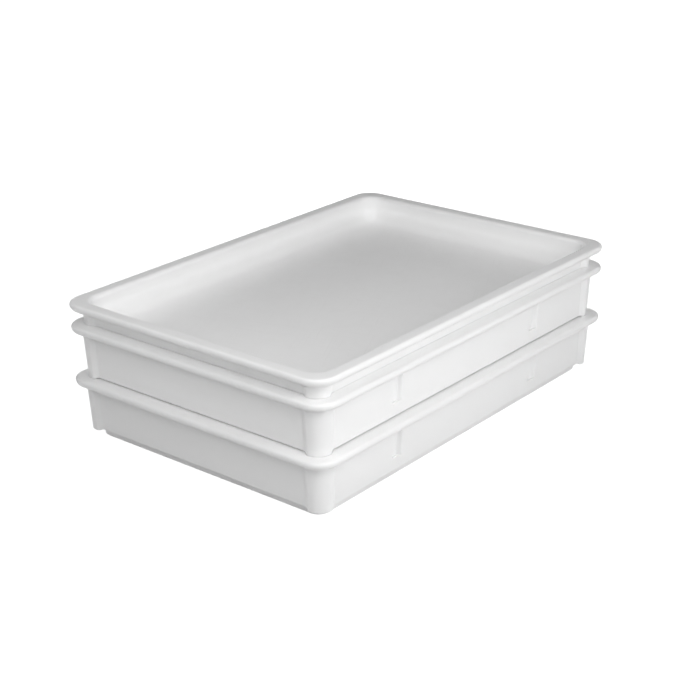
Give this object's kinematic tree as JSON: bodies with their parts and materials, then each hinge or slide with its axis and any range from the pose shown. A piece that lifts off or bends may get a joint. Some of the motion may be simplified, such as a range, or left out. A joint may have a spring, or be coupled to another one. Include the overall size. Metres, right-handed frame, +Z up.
{
  "type": "dough box",
  "caption": "Stack of white moulded dough boxes under a tray-shaped lid, with rounded rims, corner posts and finger grooves. Each piece nests in the one below and lifts off.",
  "frame": {"origin": "middle of the underside of the lower box, on the surface the stack stands on", "axes": "+X along the long side, +Y along the short side, +Z up through the stack"},
  "size_m": [0.6604, 0.4572, 0.1975],
  "materials": {
    "box_plastic": "satin moulded polypropylene",
    "lid_plastic": "satin moulded polypropylene"
  },
  "bodies": {
    "lower_box": {"lower_box": "box_plastic"},
    "upper_box": {"upper_box": "box_plastic"},
    "lid": {"lid": "lid_plastic"}
  },
  "joints": [
    {"name": "upper_box_lift", "type": "slide", "parent": "lower_box", "child": "upper_box", "axis": [0, 0, 1], "range_m": [0, 0.12]},
    {"name": "lid_lift", "type": "slide", "parent": "upper_box", "child": "lid", "axis": [0, 0, 1], "range_m": [0, 0.12]}
  ]
}
